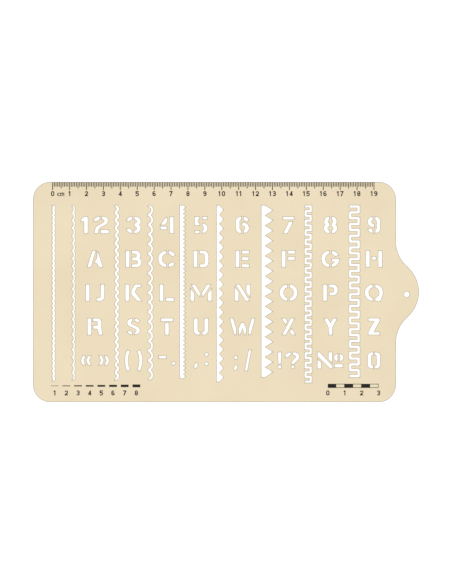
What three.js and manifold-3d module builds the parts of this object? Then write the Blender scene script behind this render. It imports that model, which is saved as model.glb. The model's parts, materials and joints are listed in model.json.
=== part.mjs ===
// A flat drawing stencil: one thin sheet with cut-out figures, letters, signs and border lines,
// a centimetre rule printed along its top edge, and a hanging tab with a hole on its right side.
// Millimetres. +X runs along the rule, +Y points to the rule, +Z leaves the printed face.
// The origin lies on the underside, below the middle of the outline.

import * as THREE from "three";
import Module from "manifold-3d";
import { mergeVertices } from "three/addons/utils/BufferGeometryUtils.js";

const wasm = await Module();
wasm.setup();

// Sheet without its tab: the rows and columns spread to fill it between its margins
const SHEET_LENGTH = 214.4;
const SHEET_HEIGHT = 130;
const SHEET_THICKNESS = 0.8;
const CORNER_RADIUS = 10;
const LEFT_MARGIN = 11.05;
const RIGHT_MARGIN = 4.88;
const RULE_BAND = 13.7;
const FOOT_BAND = 12.7;

// Hanging tab on the right side
const TAB_REACH = 13.6;
const TAB_NOSE_RADIUS = 20;
const TAB_FILLET_RADIUS = 20;
const HOLE_DIAMETER = 3.4;
const HOLE_FROM_NOSE = 7.1;
const HOLE_DROP = 1.4;

// Rows of signs, and how far the border lines run past the first and the last row
const LETTER_HEIGHT = 9.8;
const LINES_ABOVE = 6.84;
const LINES_BELOW = 6.96;

// Strokes of the cut-out signs
const STEM = 2.25;
const BAR = 1.8;
const THIN = 1.5;
const MEDIUM = 1.75;
const BRIDGE = 1.3;
const NARROW_BRIDGE = 0.95;
const DOT = 2.12;
const ROUND_RISE = 0.3;
const INNER_CORNER = 0.4;

// Widths of the cut-out signs
const WIDTH = {
  one: 4,
  two: 9.05,
  three: 8.5,
  four: 7.85,
  five: 7.55,
  six: 7.85,
  seven: 6.8,
  eight: 8,
  nine: 7.6,
  zero: 7.55,
  A: 9.3,
  B: 9.3,
  C: 10.8,
  D: 8.85,
  E: 8.1,
  F: 8.1,
  G: 10.7,
  H: 9.55,
  J: 4.7,
  K: 9.8,
  L: 8.65,
  M: 12.6,
  N: 9.1,
  O: 10.45,
  P: 8.7,
  Q: 10.7,
  R: 8.95,
  S: 7.7,
  T: 7.35,
  U: 8.5,
  W: 14.9,
  X: 8.25,
  Y: 7.8,
  Z: 6.9,
  chevron: 3,
  bracket: 3.05,
  dash: 4.7,
  comma: 2.4,
  slash: 3.9,
  question: 8.6,
  numero: 15.4,
};

// Gaps between signs that stand side by side
const GAP = {
  oneTwo: 3.4,
  letterIJ: 4.1,
  chevronPairs: 4.5,
  brackets: 4.2,
  dashStop: 3.1,
  commaColon: 4,
  semicolonSlash: 4.2,
  questionMark: 2,
};

// Border lines from left to right: each one's width over all, its stroke or root and its repeat
const FINE_WAVE = { width: 2.04, stroke: 1.38, lead: 0, period: 2.972, steps: 8 };
const LOW_SCALLOP = { width: 1.94, stroke: 1.08, dip: 0.62, land: 0.75, period: 4.495 };
const WAVE = { width: 2.85, stroke: 1.4, lead: 0.2, period: 4.5, steps: 8 };
const DEEP_SCALLOP = { width: 3.09, stroke: 1.25, dip: 1.48, land: 1.6, period: 5.735 };
const FINE_TEETH = { width: 3.55, root: 1.8, period: 2.5 };
const TEETH = { width: 4.1, root: 1.45, period: 5.5 };
const COARSE_TEETH = { width: 6.87, root: 1.87, period: 5.985 };
const MEANDER = { width: 4.36, stroke: 1.33, pitch: 2.803 };
const WIDE_MEANDER = { width: 6.43, stroke: 1.46, pitch: 3.458 };
const FIRST_LINE_GAP = 9.81;

// Printed rule
const INK_THICKNESS = 0.05;
const EDGE_INSET = 0.12;
const RULE_START = 11.5;
const TICKS_PER_CENTIMETRE = 10;
const TICK_PITCH = 1;
const TICK_WIDTH = 0.46;
const TICK_LENGTH = 2.6;
const HALF_TICK_LENGTH = 3.6;
const WHOLE_TICK_LENGTH = 4.6;
const TICK_SPINE = 0.1;

// Printed numerals and the unit beside the zero
const NUMERAL_HEIGHT = 2.95;
const NUMERAL_WIDTH = 1.95;
const NUMERAL_ONE_WIDTH = 1.3;
const NUMERAL_STROKE = 0.58;
const NUMERAL_GAP = 0.76;
const NUMERAL_DROP = 5.35;
const UNIT_HEIGHT = 2;
const UNIT_STROKE = 0.47;
const UNIT_STEM_PITCH = 2.05;
const UNIT_GAP = 0.2;
const UNIT_FROM_ZERO = 2.65;

// Printed line-width key in the lower left corner and bar scale in the lower right corner
const KEY_LEFT = 10.4;
const KEY_COUNT = 8;
const KEY_PITCH = 6.9;
const KEY_LENGTH = 4.6;
const KEY_THINNEST = 0.25;
const KEY_STEP = 0.2;
const PRINT_ROW_DROP = 2;
const PRINT_ROW_GAP = 1.5;
const PRINT_ROW_HEIGHT = 2.4;
const SCALE_RIGHT = 10.2;
const SCALE_COUNT = 3;
const SCALE_FRAME = 0.3;

// Finest arc: its greatest distance from the true curve, and its greatest step
const ARC_SAG = 0.06;
const ARC_STEP = Math.PI / 4;

// Points closer than this are one point, and turns smaller than this are straight
const MERGE_DISTANCE = 1e-4;
const STRAIGHT = 1e-4;

const SHEET_COLOUR = "#eddebf";
const INK_COLOUR = "#1d1c17";

const at = (x, y) => new THREE.Vector2(x, y);
const CAP = LETTER_HEIGHT;
const MIDDLE = CAP / 2;

// Points on an ellipse from one angle to another
function arc(x, y, radiusX, radiusY, from, to) {
  const radius = Math.max(Math.abs(radiusX), Math.abs(radiusY), ARC_SAG);
  const step = Math.min(ARC_STEP, 2 * Math.acos(1 - ARC_SAG / radius));
  const count = Math.max(1, Math.ceil(Math.abs(to - from) / step - 0.01));
  return new THREE.EllipseCurve(x, y, radiusX, radiusY, from, to, to < from).getPoints(count);
}

const block = (x0, y0, x1, y1) => [at(x0, y0), at(x1, y0), at(x1, y1), at(x0, y1)];

const outline = (...points) => points.map(([x, y]) => at(x, y));

const mirrored = (points, width) => points.map((p) => at(width - p.x, p.y));

const turned = (points, width) => points.map((p) => at(width - p.x, CAP - p.y));

const moved = (points, dx, dy) => points.map((p) => at(p.x + dx, p.y + dy));

// A round figure, stretched upwards so that it looks as tall as the straight ones
function risen(pieces) {
  const stretch = 1 + ROUND_RISE / CAP;
  return pieces.map((points) => points.map((p) => at(p.x, p.y * stretch)));
}

// A straight slanted stroke with level ends
function slant(footX, headX, y0, y1, run = STEM) {
  return outline([footX, y0], [footX + run, y0], [headX + run, y1], [headX, y1]);
}

// One edge of a bowl: from the bridge along the top, round the side and back along the bottom
function bowlEdge(bridgeX, sideX, y0, y1, radiusX, radiusY) {
  const side = Math.sign(sideX - bridgeX);
  const centreX = sideX - side * radiusX;
  const reach = (side * (bridgeX - centreX)) / radiusX;
  const turn = reach > 0 ? Math.acos(Math.min(reach, 1)) : Math.PI / 2;
  const top = arc(centreX, y1 - radiusY, side * radiusX, radiusY, turn, 0);
  const foot = arc(centreX, y0 + radiusY, side * radiusX, radiusY, 0, -turn);
  const ends = reach > 0 ? [[], []] : [[at(bridgeX, y1)], [at(bridgeX, y0)]];
  return [...ends[0], ...top, ...foot, ...ends[1]];
}

// A half ring, open towards its bridge, with rounded corners on its far side
function bowl(bridgeX, sideX, y0, y1, radiusX, radiusY, wall = STEM, cap = BAR) {
  const side = Math.sign(sideX - bridgeX);
  const innerX = Math.max(radiusX - wall, INNER_CORNER);
  const innerY = Math.min(Math.max(radiusY - cap, INNER_CORNER), (y1 - y0) / 2 - cap);
  const outer = bowlEdge(bridgeX, sideX, y0, y1, radiusX, Math.min(radiusY, (y1 - y0) / 2));
  const inner = bowlEdge(bridgeX, sideX - side * wall, y0 + cap, y1 - cap, innerX, innerY);
  return [...outer, ...inner.reverse()];
}

// The free end of a ring: from the bridge to a cut across the stroke; up is 1 at the top, -1 below
function hook(x, y, radiusX, radiusY, bridgeX, endAngle, up) {
  const side = Math.sign(bridgeX - x);
  const reach = Math.abs(bridgeX - x);
  const innerX = radiusX - STEM;
  const innerY = radiusY - BAR;
  const outer = arc(x, y, side * radiusX, up * radiusY, Math.acos(reach / radiusX), endAngle);
  const inner = arc(x, y, side * innerX, up * innerY, endAngle, Math.acos(reach / innerX));
  return [...outer, ...inner];
}

// An upright stroke that turns into a foot at its lower end
function crook(footX, sideX, top) {
  const side = Math.sign(sideX - footX);
  const radius = Math.min(STEM * 1.2, Math.abs(sideX - footX));
  const inner = Math.min(INNER_CORNER * 2, Math.abs(sideX - footX) - STEM);
  const innerX = sideX - side * STEM;
  return [
    at(sideX, top),
    ...arc(sideX - side * radius, radius, side * radius, radius, 0, -Math.PI / 2),
    at(footX, 0),
    at(footX, BAR),
    ...arc(innerX - side * inner, BAR + inner, side * inner, inner, -Math.PI / 2, 0),
    at(innerX, top),
  ];
}

// One edge of a swung stroke: a smooth curve through the given points
function swung(...points) {
  return new THREE.SplineCurve(outline(...points)).getPoints(2 * (points.length - 1));
}

const disc = (x, y, diameter) => arc(x, y, diameter / 2, diameter / 2, 0, Math.PI * 2).slice(1);

// A short slanted stroke with round ends
function capsule(x0, y0, x1, y1, diameter) {
  const tilt = Math.atan2(y1 - y0, x1 - x0);
  const radius = diameter / 2;
  return [
    ...arc(x0, y0, radius, radius, tilt + Math.PI / 2, tilt + Math.PI * 1.5),
    ...arc(x1, y1, radius, radius, tilt - Math.PI / 2, tilt + Math.PI / 2),
  ];
}

// The two halves of a ring on either side of an upright bridge
function ringHalves(width, y0, y1, radiusX, radiusY, bridge, wall, cap) {
  const left = bowl((width - bridge) / 2, 0, y0, y1, radiusX, radiusY, wall, cap);
  return [left, mirrored(left, width)];
}

// Upper and lower bowls that share their middle bar
function doubleBowl(bridgeX, upperX, lowerX, radiusX) {
  const radiusY = (MIDDLE + BAR / 2) / 2;
  return [
    bowl(bridgeX, upperX, MIDDLE - BAR / 2, CAP, radiusX, radiusY),
    bowl(bridgeX, lowerX, 0, MIDDLE + BAR / 2, radiusX, radiusY),
  ];
}

// Figures

function one(w = WIDTH.one) {
  const stemX = w - STEM;
  const flagTop = CAP - BAR * 0.85;
  const flagFoot = flagTop - BAR * 0.85;
  const flag = [[stemX, CAP], [0, flagTop], [0, flagFoot], [stemX, flagTop - BAR / 2]];
  return [outline([w, 0], [w, CAP], ...flag, [stemX, 0])];
}

function two(w = WIDTH.two) {
  const bowlX = w / 2 - BRIDGE / 8;
  const bowlY = CAP * 0.72;
  const startX = bowlX + BRIDGE * 0.35;
  const legX = w * 0.055;
  const outer = swung(
    [startX, CAP],
    [w * 0.72, CAP * 0.98],
    [w * 0.88, CAP * 0.89],
    [w * 0.945, CAP * 0.755],
    [w * 0.895, CAP * 0.61],
    [w * 0.74, CAP * 0.485],
    [w * 0.53, CAP * 0.395],
    [w * 0.37, CAP * 0.3],
    [legX + STEM, CAP * 0.17],
    [legX + STEM * 0.96, 0],
  );
  const inner = swung(
    [legX, 0],
    [legX + STEM * 0.04, CAP * 0.17],
    [w * 0.14, CAP * 0.34],
    [w * 0.31, CAP * 0.475],
    [w * 0.53, CAP * 0.58],
    [w * 0.67, CAP * 0.66],
    [w * 0.71, CAP * 0.75],
    [w * 0.64, CAP * 0.81],
    [startX, CAP - BAR],
  );
  const end = hook(bowlX, bowlY, bowlX, CAP - bowlY, bowlX - BRIDGE / 2, 0, 1);
  const foot = block(legX + STEM + BRIDGE, 0, w, BAR * 1.1);
  return risen([end, [...outer, ...inner], foot]);
}

function three(w = WIDTH.three) {
  const bridgeX = w / 2 - NARROW_BRIDGE / 4;
  const left = bridgeX - BRIDGE / 2;
  const radiusY = (MIDDLE + BAR / 2) / 2;
  const upper = hook(bridgeX, CAP - radiusY, bridgeX, radiusY, left, 0.1, 1);
  const lower = hook(bridgeX, radiusY, bridgeX, radiusY, left, 0.1, -1);
  const right = doubleBowl(bridgeX + BRIDGE / 2, w, w, (w - bridgeX) * 0.88);
  return risen([upper, lower, ...right]);
}

function four(w = WIDTH.four) {
  const barX = w - STEM - BRIDGE * 1.2;
  const barY = BAR * 1.3;
  const footY = barY + BAR + BRIDGE * 0.7;
  const headY = CAP * 0.97;
  const flag = [[barX, headY], [barX, CAP * 0.69], [barX * 0.6, footY], [0, footY], [barX * 0.85, headY]];
  return [outline(...flag), block(0, barY, barX, barY + BAR), block(w - STEM, 0, w, CAP)];
}

function five(w = WIDTH.five) {
  const bridgeX = w / 2;
  const left = bridgeX - BRIDGE * 0.65;
  const right = bridgeX + BRIDGE * 0.65;
  const waist = CAP * 0.48;
  return [
    block(0, waist, STEM * 0.87, CAP),
    block(0, CAP - BAR * 0.85, left, CAP),
    block(0, waist, left, waist + BAR * 0.85),
    block(right, CAP - BAR * 0.85, w, CAP),
    bowl(right, w, 0, CAP * 0.63, (w - left) * 0.85, CAP * 0.26),
    block(0, 0, left, BAR * 0.85),
  ];
}

function hookedBowl(w) {
  const left = (w - BRIDGE) / 2;
  const right = (w + BRIDGE) / 2;
  const radiusY = CAP * 0.34;
  const bowlTop = CAP * 0.64;
  const half = bowlTop / 2;
  const innerX = w / 2 - STEM;
  const endAngle = (radiusX) => -Math.acos((right - w / 2) / radiusX);
  const lower = [
    at(STEM + BRIDGE, bowlTop),
    ...arc(w / 2, half, w / 2, half, Math.PI / 2, endAngle(w / 2)),
    ...arc(w / 2, half, innerX, half - BAR, endAngle(innerX), Math.PI / 2),
    at(STEM + BRIDGE, bowlTop - BAR),
  ];
  return [
    bowl(left, 0, 0, CAP, w * 0.46, CAP * 0.3),
    hook(w / 2, CAP - radiusY, w / 2, radiusY, right, 0.25, 1),
    lower,
  ];
}

const six = () => risen(hookedBowl(WIDTH.six));

const nine = () => risen(hookedBowl(WIDTH.nine).map((piece) => turned(piece, WIDTH.nine)));

function seven(w = WIDTH.seven) {
  const run = STEM * 1.06;
  const headX = w - run - NARROW_BRIDGE * 0.8;
  const barY = CAP - BAR * 0.9;
  return [block(0, barY, w, CAP), slant(STEM / 10, headX, 0, barY - BRIDGE, run)];
}

function eight(w = WIDTH.eight) {
  const right = doubleBowl((w + BRIDGE) / 2, w - BAR / 8, w, w * 0.44);
  return risen([...right, ...right.map((piece) => mirrored(piece, w))]);
}

const zero = (w = WIDTH.zero) => ringHalves(w, 0, CAP, w * 0.38, CAP * 0.25, NARROW_BRIDGE);

// Letters

const BRIDGED_STEM = STEM + BRIDGE;

function letterA(w = WIDTH.A) {
  const apex = w / 2;
  const crossY = BAR * 1.25;
  const legX = w - STEM;
  const left = [
    [0, 0],
    [STEM * 0.95, 0],
    [apex + BRIDGE * 0.3, CAP],
    [apex - BRIDGE * 1.15, CAP],
  ];
  const right = [
    [w, 0],
    [apex + BRIDGE * 1.25, CAP * 0.97],
    [apex + BRIDGE * 0.8, CAP * 0.97],
    [apex + BRIDGE, CAP * 0.56],
    [apex, crossY + BAR * 0.8],
    [apex, crossY],
    [legX - BRIDGE * 0.75, crossY],
    [legX, 0],
  ];
  return [outline(...left), outline(...right)];
}

function letterB(w = WIDTH.B) {
  return [block(0, 0, STEM, CAP), ...doubleBowl(BRIDGED_STEM, w - BAR * 0.35, w, STEM * 1.25)];
}

function roundLeft(w) {
  return bowl((w - BRIDGE) / 2, 0, 0, CAP, w * 0.47, CAP * 0.46);
}

function letterC(w = WIDTH.C) {
  const right = (w + BRIDGE) / 2;
  const upper = hook(w / 2, MIDDLE, w / 2, MIDDLE, right, 0.48, 1);
  const lower = hook(w / 2, MIDDLE, w / 2, MIDDLE, right, 0.6, -1);
  return [roundLeft(w), upper, lower];
}

function letterD(w = WIDTH.D) {
  return [block(0, 0, STEM, CAP), bowl(BRIDGED_STEM, w, 0, CAP, STEM * 1.35, CAP / 3)];
}

function letterE(w = WIDTH.E) {
  const bars = [0, CAP - BAR].map((y) => block(BRIDGED_STEM, y, w, y + BAR));
  const middleY = MIDDLE - BAR * 0.4;
  const middle = block(BRIDGED_STEM, middleY, w - BAR * 0.2, middleY + BAR);
  return [block(0, 0, STEM, CAP), ...bars, middle];
}

function letterF(w = WIDTH.F) {
  const middleY = MIDDLE - BAR * 0.35;
  const middle = block(BRIDGED_STEM, middleY, w - BAR * 0.15, middleY + BAR);
  return [block(0, 0, STEM, CAP), middle, block(BRIDGED_STEM, CAP - BAR, w, CAP)];
}

function letterG(w = WIDTH.G) {
  const right = (w + BRIDGE) / 2;
  const innerX = w / 2 - STEM;
  const innerY = MIDDLE - BAR;
  const barY = MIDDLE - BAR * 0.9;
  const barAngle = -Math.asin((MIDDLE - barY) / innerY);
  const lower = [
    at(right, MIDDLE),
    ...arc(w / 2, MIDDLE, w / 2, MIDDLE, 0, -Math.acos((right - w / 2) / (w / 2))),
    ...arc(w / 2, MIDDLE, innerX, innerY, -Math.acos((right - w / 2) / innerX), barAngle),
    at(right, barY),
  ];
  return [roundLeft(w), hook(w / 2, MIDDLE, w / 2, MIDDLE, right, 0.48, 1), lower];
}

function letterH(w = WIDTH.H) {
  const barY = MIDDLE - BAR * 0.35;
  const bar = block(BRIDGED_STEM, barY, w - BRIDGED_STEM, barY + BAR * 1.12);
  return [block(0, 0, STEM, CAP), bar, block(w - STEM, 0, w, CAP)];
}

const letterI = () => [block(0, 0, STEM, CAP)];

const letterJ = (w = WIDTH.J) => [crook(0, w, CAP)];

function letterK(w = WIDTH.K) {
  const left = BRIDGED_STEM;
  const notch = left + STEM * 0.85;
  const arms = [
    [left, CAP * 0.4],
    [left, CAP * 0.63],
    [left + STEM * 0.95, CAP],
    [w - BAR * 0.28, CAP],
    [w - BAR * 0.28, CAP - BAR * 0.85],
    [notch + STEM * 0.72, CAP - BAR * 0.85],
    [notch, CAP * 0.55],
    [w, 0],
    [w - STEM * 1.15, 0],
  ];
  return [block(0, 0, STEM, CAP), outline(...arms)];
}

const letterL = (w = WIDTH.L) => [block(0, 0, STEM, CAP), block(BRIDGED_STEM, 0, w, BAR)];

function letterM(w = WIDTH.M) {
  const inner = (w - BRIDGE) / 2;
  const stem = outline([0, 0], [STEM, 0], [STEM, CAP * 0.46], [0, CAP * 0.79]);
  const diagonal = [
    [STEM * 0.25, CAP],
    [STEM * 1.2, CAP],
    [inner, CAP * 0.51],
    [inner, CAP * 0.26],
    [inner - STEM * 0.25, CAP * 0.26],
  ];
  const left = [stem, outline(...diagonal)];
  return [...left, ...left.map((piece) => mirrored(piece, w))];
}

function letterN(w = WIDTH.N) {
  const diagonal = slant(w - STEM * 1.15, STEM * 0.25, 0, CAP);
  const left = outline([0, 0], [STEM, 0], [STEM, CAP * 0.54], [0, CAP * 0.86]);
  const right = outline([w, CAP], [w - STEM, CAP], [w - STEM, CAP * 0.55], [w, CAP * 0.21]);
  return [left, diagonal, right];
}

const letterO = (w = WIDTH.O) => ringHalves(w, 0, CAP, w * 0.47, CAP * 0.46, BRIDGE);

function letterP(w = WIDTH.P) {
  return [block(0, 0, STEM, CAP), bowl(BRIDGED_STEM, w, CAP * 0.34, CAP, STEM * 1.25, CAP / 3)];
}

function letterQ(w = WIDTH.Q) {
  const bridgeX = (w + BRIDGE) / 2;
  const tail = [
    [bridgeX, 0],
    [w * 0.86, 0],
    [w * 0.93, BAR * 0.75],
    [w * 0.85, BAR * 1.2],
    [bridgeX, BAR * 0.6],
  ];
  return [...letterO(w), outline(...tail)];
}

function letterR(w = WIDTH.R) {
  const bowlX = w - STEM * 0.3;
  const waist = CAP * 0.36;
  return [
    block(0, 0, STEM, CAP),
    bowl(STEM + NARROW_BRIDGE, bowlX, waist, CAP, STEM, CAP * 0.28),
    slant(w - STEM, bowlX - STEM * 1.115, 0, waist + BAR),
  ];
}

function letterS(w = WIDTH.S) {
  const left = (w - BRIDGE) / 2;
  const right = (w + BRIDGE) / 2;
  const half = swung(
    [left, CAP],
    [w * 0.2, CAP * 0.945],
    [w * 0.06, CAP * 0.85],
    [0, CAP * 0.72],
    [w * 0.07, CAP * 0.59],
    [w * 0.24, CAP * 0.49],
    [w * 0.5, CAP * 0.405],
    [w * 0.67, CAP * 0.335],
    [w * 0.72, CAP * 0.26],
    [w * 0.68, CAP * 0.195],
    [right, CAP * 0.17],
  );
  const outer = swung([right, CAP], [w * 0.8, CAP * 0.955], [w, CAP * 0.825]);
  const inner = swung([w * 0.84, CAP * 0.715], [w * 0.73, CAP * 0.795], [right, CAP * 0.83]);
  const upper = [...outer, ...inner];
  return [[...half, ...turned(half, w)], upper, turned(upper, w)];
}

function letterT(w = WIDTH.T) {
  const stemX = (w - STEM) / 2;
  return [block(0, CAP - BAR, w, CAP), block(stemX, 0, stemX + STEM, CAP - BAR - NARROW_BRIDGE)];
}

function letterU(w = WIDTH.U) {
  const right = crook((w + BRIDGE) / 2, w, CAP);
  return [right, mirrored(right, w)];
}

function letterW(w = WIDTH.W) {
  const innerX = STEM * 1.68;
  const middleX = innerX + BRIDGE * 1.15;
  const foot = STEM * 0.4;
  const side = outline([0, CAP], [BAR, CAP], [innerX, CAP * 0.38], [innerX, 0], [innerX - STEM / 2, 0]);
  const halfPeak = [
    [middleX, 0],
    [middleX, CAP * 0.38],
    [w / 2 - THIN / 2, CAP * 0.74],
  ];
  const peak = [
    ...halfPeak,
    ...halfPeak.map(([x, y]) => [w - x, y]).reverse(),
    [w - middleX - foot, 0],
    [w / 2, CAP * 0.4],
    [middleX + foot, 0],
  ];
  return [side, outline(...peak), mirrored(side, w)];
}

function letterX(w = WIDTH.X) {
  const foot = STEM * 0.12;
  const lean = (w - STEM * 1.35) / CAP;
  const back = (w - STEM) / CAP;
  const gap = NARROW_BRIDGE * Math.hypot(1, lean);
  const meet = (edge) => (edge + back * CAP - foot + gap) / (lean + back);
  const corner = (edge) => [edge + back * (CAP - meet(edge)), meet(edge)];
  const arm = outline([0, CAP], [STEM, CAP], corner(STEM), corner(0));
  return [slant(foot, foot + lean * CAP, 0, CAP), arm, turned(arm, w)];
}

function letterY(w = WIDTH.Y) {
  const stemX = (w - STEM) / 2;
  const arm = [[stemX, 0], [stemX, CAP * 0.44], [0, CAP], [STEM, CAP]];
  const rest = arm.map(([x, y]) => [w - x, y]).reverse();
  return [outline(...arm, [w / 2, CAP * 0.71], ...rest)];
}

function letterZ(w = WIDTH.Z) {
  const low = BAR * 0.9;
  const half = [[0, 0], [w, 0], [w, low], [w * 0.46, low], [w, CAP - BAR * 0.75]];
  return [outline(...half, ...half.map(([x, y]) => [w - x, CAP - y]))];
}

// Signs

function chevrons(w = WIDTH.chevron) {
  const top = CAP * 0.775;
  const foot = CAP * 0.215;
  const mid = (top + foot) / 2;
  const inner = w - MEDIUM;
  const first = outline([0, mid], [inner, top], [w, top], [MEDIUM, mid], [w, foot], [inner, foot]);
  return [first, moved(first, MEDIUM + BRIDGE * 1.15, 0)];
}

function closingChevrons() {
  const pair = chevrons();
  const width = widthOf(pair);
  return pair.map((piece) => mirrored(piece, width));
}

function bracket(w = WIDTH.bracket) {
  const half = CAP * 0.605;
  const sag = w - MEDIUM;
  const radius = (half * half + sag * sag) / (2 * sag);
  const spread = Math.asin(half / radius);
  const x = radius + MEDIUM / 2;
  const y = MIDDLE - CAP * 0.01;
  const edge = (r, from, to) => arc(x, y, r, r, Math.PI + from, Math.PI + to);
  const outer = [...edge(x, -spread, 0), ...edge(x, 0, spread)];
  return [[...outer, ...edge(radius - MEDIUM / 2, spread, -spread)]];
}

const closingBracket = () => bracket().map((piece) => mirrored(piece, WIDTH.bracket));

const dash = (w = WIDTH.dash) => [block(0, CAP * 0.615, w, CAP * 0.615 + THIN)];

const fullStop = (y = CAP * 0.315) => [disc(DOT / 2, y, DOT)];

function comma(y = CAP * 0.02, w = WIDTH.comma) {
  const radius = MEDIUM / 2;
  return [capsule(radius, y + radius, w - radius, y + CAP * 0.33 - radius, MEDIUM)];
}

const colon = () => [...fullStop(CAP * 0.3), ...fullStop(CAP * 0.855)];

function semicolon() {
  const dot = fullStop(CAP * 0.67).map((piece) => moved(piece, WIDTH.comma - DOT, 0));
  return [...comma(-CAP * 0.11), ...dot];
}

const slash = (w = WIDTH.slash) => [slant(0, w - THIN, -CAP * 0.145, CAP * 1.13, THIN)];

function exclamation() {
  const taper = (STEM - THIN) / 2;
  const foot = CAP * 0.28;
  const shaft = outline([taper, foot], [STEM - taper, foot], [STEM, CAP], [0, CAP]);
  return [shaft, disc(STEM / 2, DOT / 2, DOT)];
}

function question(w = WIDTH.question) {
  const bowlX = w * 0.47;
  const bowlY = CAP * 0.69;
  const startX = bowlX + BRIDGE / 2;
  const footX = w * 0.545;
  const footY = CAP * 0.27;
  const outer = swung(
    [startX, CAP],
    [w * 0.74, CAP * 0.975],
    [w * 0.915, CAP * 0.88],
    [w * 0.995, CAP * 0.73],
    [w * 0.955, CAP * 0.59],
    [w * 0.82, CAP * 0.47],
    [w * 0.7, CAP * 0.38],
    [footX + STEM * 0.47, footY],
  );
  const inner = swung(
    [footX - STEM * 0.47, footY],
    [w * 0.46, CAP * 0.4],
    [w * 0.575, CAP * 0.525],
    [w * 0.71, CAP * 0.63],
    [w * 0.755, CAP * 0.73],
    [w * 0.68, CAP * 0.81],
    [startX, CAP - BAR],
  );
  const end = hook(bowlX, bowlY, bowlX, CAP - bowlY, bowlX - BRIDGE / 2, 0, 1);
  return [end, [...outer, ...inner], disc(footX, DOT / 2, DOT * 0.92)];
}

function numero(w = WIDTH.numero) {
  const head = w * 0.57;
  const ringWidth = w - head - NARROW_BRIDGE;
  const ringLow = CAP * 0.435;
  const ringTop = CAP * 0.905;
  const radiusY = (ringTop - ringLow) / 2;
  const ring = ringHalves(ringWidth, ringLow, ringTop, ringWidth / 2, radiusY, NARROW_BRIDGE, BAR, THIN);
  const railLow = CAP * 0.075;
  const diagonal = [
    [0, CAP],
    [STEM * 0.5, CAP],
    [head, CAP * 0.16],
    [head, 0],
    [head - STEM * 0.45, 0],
    [0, CAP * 0.76],
  ];
  return [
    outline([0, 0], [STEM, 0], [STEM, CAP * 0.36], [0, CAP * 0.59]),
    outline(...diagonal),
    outline([head, CAP], [head - STEM, CAP], [head - STEM, CAP * 0.56], [head, CAP * 0.35]),
    ...ring.map((piece) => moved(piece, w - ringWidth, 0)),
    block(w - ringWidth + BRIDGE * 0.3, railLow, w - BRIDGE * 0.3, railLow + BAR * 1.1),
  ];
}

// Border lines: each one returns its outline from the top left corner at the origin downwards

const wholeRepeats = (length, period) => Math.max(1, Math.round(length / period));

// An even stroke along a cosine path, which starts the lead past the left end of a swing
function waveLine({ width, stroke, lead, period, steps }, length) {
  const count = wholeRepeats(length, period) * steps;
  const swing = (width - stroke) / 2;
  const turn = (2 * Math.PI) / period;
  const left = [];
  const right = [];
  for (let i = 0; i <= count; i += 1) {
    const depth = (period * i) / steps;
    const angle = turn * (depth + lead);
    const middle = at(width / 2 - swing * Math.cos(angle), -depth);
    const across = at(1, swing * turn * Math.sin(angle)).setLength(stroke / 2);
    left.push(middle.clone().sub(across));
    right.push(middle.clone().add(across));
  }
  return [...left, ...right.reverse()];
}

// Arcs that bulge to the right: straight lands part those of the left edge, those of the right edge meet
function scallopLine({ width, stroke, dip, land, period }, length) {
  const count = wholeRepeats(length, period);
  const bulge = (crestX, rise, chord, y) => {
    const radius = (chord * chord) / 8 / rise + rise / 2;
    const spread = Math.asin(chord / 2 / radius);
    return arc(crestX - radius, y, radius, radius, spread, -spread);
  };
  const left = [at(0, 0)];
  const right = [];
  for (let i = 0; i < count; i += 1) {
    const y = -period * (i + 0.5);
    left.push(...bulge(width - stroke, width - stroke, period - land, y));
    right.push(...bulge(width, dip, period, y));
  }
  return [...left, at(0, -period * count), ...right.reverse()];
}

// A straight left edge and pointed teeth on the right
function toothLine({ width, root, period }, length) {
  const count = wholeRepeats(length, period);
  const teeth = [];
  for (let i = 0; i < count; i += 1) {
    teeth.push(at(root, -period * i), at(width, -period * (i + 0.5)));
  }
  return [at(0, 0), ...teeth, at(root, -period * count), at(0, -period * count)];
}

// Runs joined at the right and the left in turn, with both ends of the line at the left
function meanderLine({ width, stroke, pitch }, length) {
  const turns = 2 * wholeRepeats(length - stroke - pitch, 2 * pitch) + 1;
  const upper = [at(0, 0)];
  const lower = [at(0, -stroke)];
  for (let i = 0; i < turns; i += 1) {
    const rightTurn = i % 2 === 0;
    const y = -pitch * i;
    const outerX = rightTurn ? width : 0;
    const innerX = rightTurn ? width - stroke : stroke;
    const outside = [at(outerX, y), at(outerX, y - pitch - stroke)];
    const inside = [at(innerX, y - stroke), at(innerX, y - pitch)];
    upper.push(...(rightTurn ? outside : inside));
    lower.push(...(rightTurn ? inside : outside));
  }
  return [...upper, at(0, -pitch * turns - stroke), at(0, -pitch * turns), ...lower.reverse()];
}

// Signs side by side with a gap between them
function beside(first, gap, second) {
  const shift = widthOf(first) + gap;
  return [...first, ...second.map((piece) => moved(piece, shift, 0))];
}

function widthOf(pieces) {
  return Math.max(...pieces.flat().map((p) => p.x));
}

const bracketPair = beside(bracket(), GAP.brackets, closingBracket());
const questionPair = beside(exclamation(), GAP.questionMark, question());

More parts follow.
